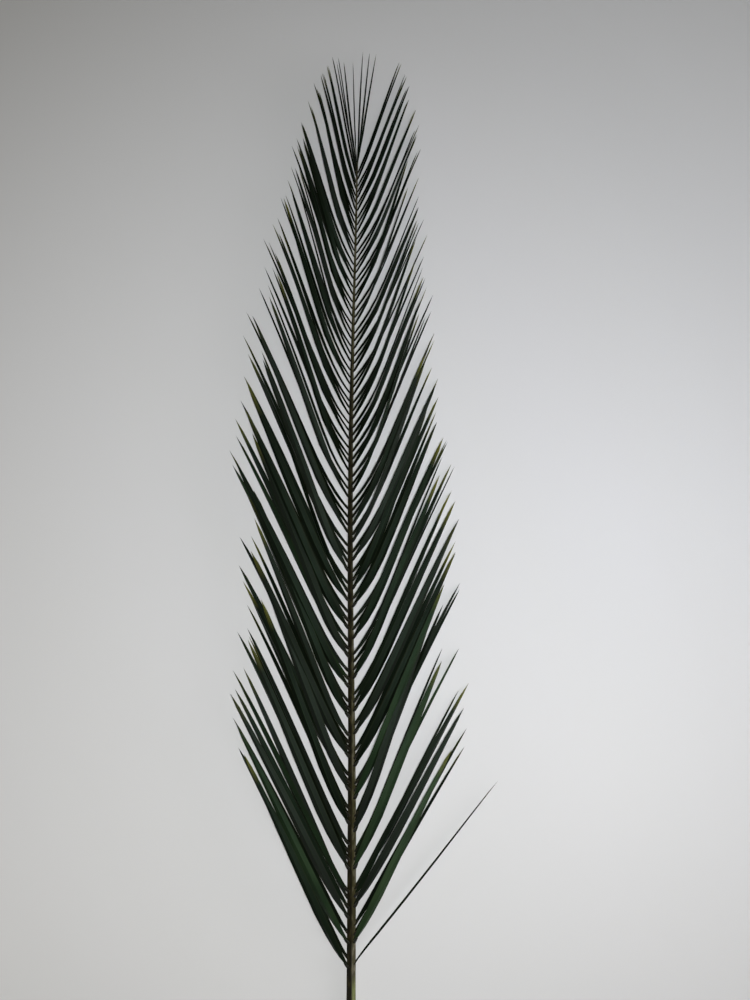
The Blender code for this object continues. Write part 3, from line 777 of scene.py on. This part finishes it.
def dried_stem():
    """Dried leaf stalk: hard, smooth skin over long fibres.

    It is brown and olive in long streaks. Painted light makes its right flank paler than the left, in
    part broken into pale grey patches, and near the cut the stalk's green is laid on that painted-lit
    flank.
    """
    material, tree, shader = new_material("dried_leaf_stalk")
    place = add(tree, "ShaderNodeTexCoord")
    # Fibres about 0.7 mm wide and 45 mm long
    fibre_place = add(tree, "ShaderNodeVectorMath", {0: (place, "Object"), 1: (1400, 22, 1400)},
                      operation="MULTIPLY")
    fibres = add(tree, "ShaderNodeTexNoise",
                 {"Vector": (fibre_place, "Vector"), "Scale": 1.0, "Detail": 4.0, "Roughness": 0.6})
    # Blotches about 4 mm wide and 14 mm long
    blotch_place = add(tree, "ShaderNodeVectorMath", {0: (place, "Object"), 1: (250, 70, 250)},
                       operation="MULTIPLY")
    blotches = add(tree, "ShaderNodeTexNoise",
                   {"Vector": (blotch_place, "Vector"), "Scale": 1.0, "Detail": 3.0})
    skin = add(tree, "ShaderNodeValToRGB", {"Fac": (blotches, "Fac")},
               stops=((0.3, "#0b0903"), (0.45, "#131005"), (0.60, "#25210e"), (0.78, "#453f27")))
    parts = add(tree, "ShaderNodeSeparateXYZ", {"Vector": (place, "Object")})
    # Painted light: the right flank is made paler than the left. Near the cut the stalk's green is laid
    # on that flank only
    right = add(tree, "ShaderNodeMapRange",
                {"Value": (parts, "X"), "From Min": 0.6 * MM, "From Max": 2.4 * MM, "To Max": 0.75})
    near_cut = add(tree, "ShaderNodeMapRange",
                   {"Value": (parts, "Y"), "From Min": 58 * MM, "From Max": 40 * MM})
    below = add(tree, "ShaderNodeMath", {0: (right, "Result"), 1: (near_cut, "Result")},
                operation="MULTIPLY")
    flanked = add(tree, "ShaderNodeMix", {"Factor": (right, "Result"), 6: (skin, "Color"),
                                          7: colour("#474329")}, data_type="RGBA")
    # Painted light in patches: parts of the right flank, about 4 mm wide and 14 mm long, are pale grey
    pale_patches = add(tree, "ShaderNodeMapRange",
              {"Value": (blotches, "Fac"), "From Min": 0.5, "From Max": 0.62, "To Max": 0.75})
    lit_flank_patches = add(tree, "ShaderNodeMath", {0: (pale_patches, "Result"), 1: (right, "Result")},
                    operation="MULTIPLY")
    patched = add(tree, "ShaderNodeMix", {"Factor": (lit_flank_patches, "Value"), 6: (flanked, 2),
                                          7: colour("#787361")}, data_type="RGBA")
    # The stalk's green near the cut, laid only on the painted light of the right flank
    green = add(tree, "ShaderNodeMix", {"Factor": (below, "Value"), 6: (patched, 2),
                                        7: colour("#77804c")}, data_type="RGBA")
    dark = add(tree, "ShaderNodeMapRange",
               {"Value": (fibres, "Fac"), "From Min": 0.5, "From Max": 0.3, "To Max": 0.7})
    streaked = add(tree, "ShaderNodeMix", {"Factor": (dark, "Result"), 6: (green, 2),
                                           7: colour("#1b170c")}, data_type="RGBA")
    tree.links.new(streaked.outputs[2], shader.inputs["Base Color"])
    gloss = add(tree, "ShaderNodeMapRange",
                {"Value": (fibres, "Fac"), "From Min": 0.3, "From Max": 0.7,
                 "To Min": 0.62, "To Max": 0.45})
    tree.links.new(gloss.outputs["Result"], shader.inputs["Roughness"])
    bump = add(tree, "ShaderNodeBump",
               {"Height": (fibres, "Fac"), "Strength": 0.6, "Distance": 0.3 * MM})
    tree.links.new(bump.outputs["Normal"], shader.inputs["Normal"])
    shader.inputs["Specular IOR Level"].default_value = 0.22
    return material


def leaflet_base():
    """Thick base of a dried leaflet: leathery and nearly black, with fine fibres along it."""
    material, tree, shader = new_material("dried_leaflet_base")
    place = add(tree, "ShaderNodeTexCoord")
    # Fibres about 0.5 mm wide and 6 mm long
    fibre_place = add(tree, "ShaderNodeVectorMath", {0: (place, "Object"), 1: (1000, 160, 1000)},
                      operation="MULTIPLY")
    fibres = add(tree, "ShaderNodeTexNoise",
                 {"Vector": (fibre_place, "Vector"), "Scale": 1.0, "Detail": 3.0})
    skin = add(tree, "ShaderNodeValToRGB", {"Fac": (fibres, "Fac")},
               stops=((0.35, "#0b0b06"), (0.55, "#17160c"), (0.72, "#2e2c1a")))
    tree.links.new(skin.outputs["Color"], shader.inputs["Base Color"])
    bump = add(tree, "ShaderNodeBump",
               {"Height": (fibres, "Fac"), "Strength": 0.5, "Distance": 0.2 * MM})
    tree.links.new(bump.outputs["Normal"], shader.inputs["Normal"])
    shader.inputs["Roughness"].default_value = 0.6
    shader.inputs["Specular IOR Level"].default_value = 0.2
    return material


def bare_fibre():
    """Sawn end of the stalk: pale dry pith, with the darker round ends of its fibre bundles."""
    material, tree, shader = new_material("sawn_leaf_stalk")
    place = add(tree, "ShaderNodeTexCoord")
    # Bundles about 1 mm apart
    bundle_place = add(tree, "ShaderNodeVectorMath", {0: (place, "Object"), 1: (950, 0, 950)},
                       operation="MULTIPLY")
    bundles = add(tree, "ShaderNodeTexVoronoi", {"Vector": (bundle_place, "Vector"), "Scale": 1.0})
    face = add(tree, "ShaderNodeValToRGB", {"Fac": (bundles, "Distance")},
               stops=((0.12, "#5a4526"), (0.3, "#a88f5e"), (0.6, "#c3ac7c")))
    tree.links.new(face.outputs["Color"], shader.inputs["Base Color"])
    bump = add(tree, "ShaderNodeBump",
               {"Height": (bundles, "Distance"), "Strength": 0.5, "Distance": 0.25 * MM}, invert=True)
    tree.links.new(bump.outputs["Normal"], shader.inputs["Normal"])
    shader.inputs["Roughness"].default_value = 0.85
    return material


# Stage: name, power in watts, place, point aimed at, width in metres, spread in degrees and colour
OVERHEAD = (0.08, 0.58, 2.83)
LIGHTS = (("wide_overhead_light", 6.70, OVERHEAD, (0.32, 0.31, 0.0), 0.12, 72.0, "#fffdf6"),
          ("left_overhead_light", 1.72, OVERHEAD, (-0.50, 0.10, 0.0), 0.12, 50.0, "#fcfcfb"),
          ("right_overhead_light", 1.58, OVERHEAD, (0.35, 0.60, 0.0), 0.12, 44.0, "#e0eaff"),
          ("low_window_light", 3.7, (2.4, 0.3, 0.75), (-0.6, 0.50, 0.0), 1.2, 60.0, "#fff9ff"))
# Lights that stand in a ring and lean outwards, so that the floor around the frond is pale too
RING_LIGHTS = 6
RING_RADIUS = 1.5
RING_HEIGHT = 2.8
RING_AIM_RADIUS = 3.3
RING_POWER = 13.0
RING_WIDTH = 0.8
RING_SPREAD = 84.0
RING_COLOUR = "#ffffff"
FILL = 0.06
FILL_COLOUR = "#fcfae2"
FLOOR_SIZE = 40.0
FLOOR_MIDDLE = (0, 0.6, 0)
FLOOR_COLOUR = "#d3d3d3"
# Camera: lens and sensor in mm, then the picture's height on the floor and its middle, in metres
LENS = 85.0
SENSOR = 36.0
PICTURE_HEIGHT = 1.2
PICTURE_MIDDLE = (0.0288, 0.626)
FARTHEST_SEEN = 50.0


def ring_lights():
    """The lights of the ring, each with the same values as in LIGHTS."""
    middle = Vector((OVERHEAD[0], OVERHEAD[1], 0.0))
    rows = []
    for number in range(RING_LIGHTS):
        turn = 2 * math.pi * number / RING_LIGHTS
        out = Vector((math.cos(turn), math.sin(turn), 0.0))
        place = middle + out * RING_RADIUS + Vector((0, 0, RING_HEIGHT))
        rows.append((f"ring_light_{number}", RING_POWER, place, middle + out * RING_AIM_RADIUS,
                     RING_WIDTH, RING_SPREAD, RING_COLOUR))
    return rows


def studio():
    """Plain pale floor, lights beside the camera, a low window light, a ring and a weak, even fill."""
    deselect()
    bpy.ops.mesh.primitive_plane_add(size=FLOOR_SIZE, location=FLOOR_MIDDLE)
    floor = bpy.context.object
    floor.name = "floor"
    material, _, shader = new_material("matt_painted_board")
    shader.inputs["Base Color"].default_value = colour(FLOOR_COLOUR)
    shader.inputs["Roughness"].default_value = 0.9
    floor.data.materials.append(material)
    place_in_mesh(floor)
    world = bpy.data.worlds.new("even_fill")
    world.use_nodes = True
    background = world.node_tree.nodes["Background"]
    background.inputs["Color"].default_value = colour(FILL_COLOUR)
    background.inputs["Strength"].default_value = FILL
    bpy.context.scene.world = world
    for name, power, place, aim, width, spread, code in list(LIGHTS) + ring_lights():
        light = bpy.data.lights.new(name, "AREA")
        light.shape = "DISK"
        light.size = width
        light.spread = math.radians(spread)
        light.energy = power
        light.color = colour(code)[:3]
        lamp = bpy.data.objects.new(name, light)
        lamp.location = place
        lamp.rotation_euler = (Vector(aim) - Vector(place)).to_track_quat("-Z", "Y").to_euler()
        lamp.visible_camera = False
        bpy.context.scene.collection.objects.link(lamp)


def camera():
    """Looks straight down on the frond."""
    lens = bpy.data.cameras.new("camera")
    lens.lens = LENS
    lens.sensor_width = SENSOR
    lens.clip_end = FARTHEST_SEEN
    eye = bpy.data.objects.new("camera", lens)
    eye.location = (*PICTURE_MIDDLE, PICTURE_HEIGHT * LENS / SENSOR)
    bpy.context.scene.collection.objects.link(eye)
    bpy.context.scene.camera = eye


# Making the frond and its setting
bpy.context.scene.view_settings.view_transform = "Standard"
leaf = preserved_leaf()
draw = random.Random(DETAIL_SEED)
model = leaflet_model()
foot = foot_model()
left, right = side_leaflets(-1), side_leaflets(1)
top, apart = terminal_leaflets(), [lone_leaflet()]
pieces = [
    (leaflet_piece(model, left, "leaflets_left", leaf, draw), "leaflets"),
    (leaflet_piece(model, right, "leaflets_right", leaf, draw), "leaflets"),
    (leaflet_piece(model, top, "leaflets_tip", leaf, draw), "leaflets"),
    (leaflet_piece(model, apart, "leaflet_apart", leaf, draw), "leaflets"),
    (foot_piece(foot, left + right + apart, leaflet_base()), "leaflets"),
    (stem_piece(dried_stem()), "stem"),
    (cut_end_piece(bare_fibre()), "cut_end")]
bpy.data.objects.remove(model)
bpy.data.objects.remove(foot)
for piece, slot in pieces:
    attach(piece, BODY)
    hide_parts(NODE)
studio()
camera()
